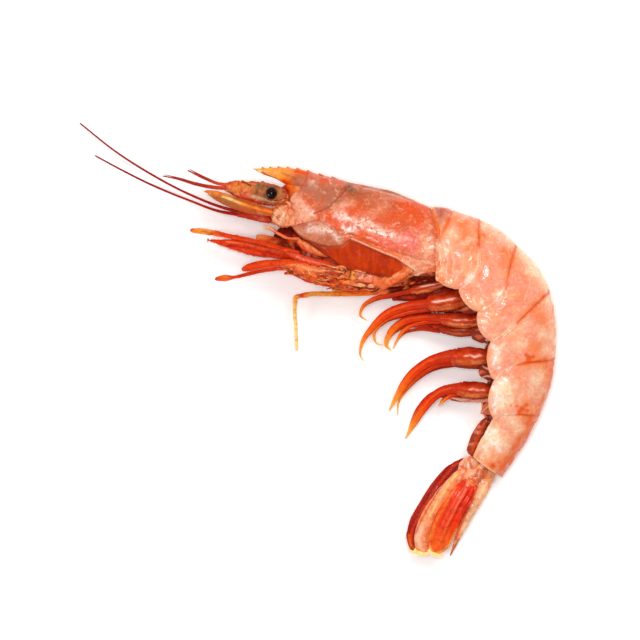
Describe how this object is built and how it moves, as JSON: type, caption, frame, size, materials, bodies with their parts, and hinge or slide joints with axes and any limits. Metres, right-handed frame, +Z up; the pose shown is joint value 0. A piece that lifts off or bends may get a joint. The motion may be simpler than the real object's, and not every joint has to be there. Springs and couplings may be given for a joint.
{
  "type": "raw red shrimp",
  "caption": "Whole raw red shrimp lying on its right side, with head shell, toothed beak, feelers, legs, swimmerets, curved segmented tail and tail fan.",
  "frame": {"origin": "on the table, under the middle of the outline of the whole animal seen from above", "axes": "+Z up from the table through the animal's left side, -X towards the head and feelers, +X towards the bend of the tail, -Y towards the tail fan, +Y towards the beak"},
  "size_m": [0.1482, 0.135, 0.0194],
  "materials": {
    "head_shell": "wet translucent shell, salmon pink mottled with orange and mauve",
    "tail_shell": "wet translucent shell over pale flesh, salmon and peach with orange-red joint lines",
    "fan": "wet thin blades, red-orange to dark red with pale peach and yellow streaks",
    "eye": "wet, glossy black",
    "stalk": "tan and olive, wet",
    "feeler": "dark red, fine rings, semi-gloss",
    "head_limb": "mottled orange, pink and yellow, wet",
    "mouth": "red-orange, hairy, wet",
    "leg": "orange, wet, jointed",
    "swimmeret": "red-orange with translucent yellow tips, wet"
  },
  "bodies": {
    "root": {"abdomen_1": "tail_shell", "abdomen_2": "tail_shell", "abdomen_3": "tail_shell", "abdomen_4": "tail_shell", "abdomen_5": "tail_shell", "abdomen_6": "tail_shell", "antenna_left": "feeler", "antenna_right": "feeler", "antennal_scale_left": "head_limb", "antennal_scale_right": "head_limb", "antennule_left": "head_limb", "antennule_right": "head_limb", "carapace": "head_shell", "eye_left": "eye", "eye_right": "eye", "eyestalk_left": "stalk", "eyestalk_right": "stalk", "head": "head_shell", "leg_1_left": "leg", "leg_1_right": "leg", "leg_2_left": "leg", "leg_2_right": "leg", "leg_3_left": "leg", "leg_3_right": "leg", "leg_4_left": "leg", "leg_4_right": "leg", "leg_5_left": "leg", "leg_5_right": "leg", "mandible_palp_left": "mouth", "mandible_palp_right": "mouth", "maxilliped_1_left": "mouth", "maxilliped_1_right": "mouth", "maxilliped_2_left": "mouth", "maxilliped_2_right": "mouth", "maxilliped_3_left": "mouth", "maxilliped_3_right": "mouth", "pleopod_1_left": "swimmeret", "pleopod_1_right": "swimmeret", "pleopod_2_left": "swimmeret", "pleopod_2_right": "swimmeret", "pleopod_3_left": "swimmeret", "pleopod_3_right": "swimmeret", "pleopod_4_left": "swimmeret", "pleopod_4_right": "swimmeret", "pleopod_5_left": "swimmeret", "pleopod_5_right": "swimmeret", "telson": "tail_shell", "thorax": "leg", "uropod_left_inner": "fan", "uropod_left_outer": "fan", "uropod_right_inner": "fan", "uropod_right_outer": "fan"}
  },
  "joints": []
}
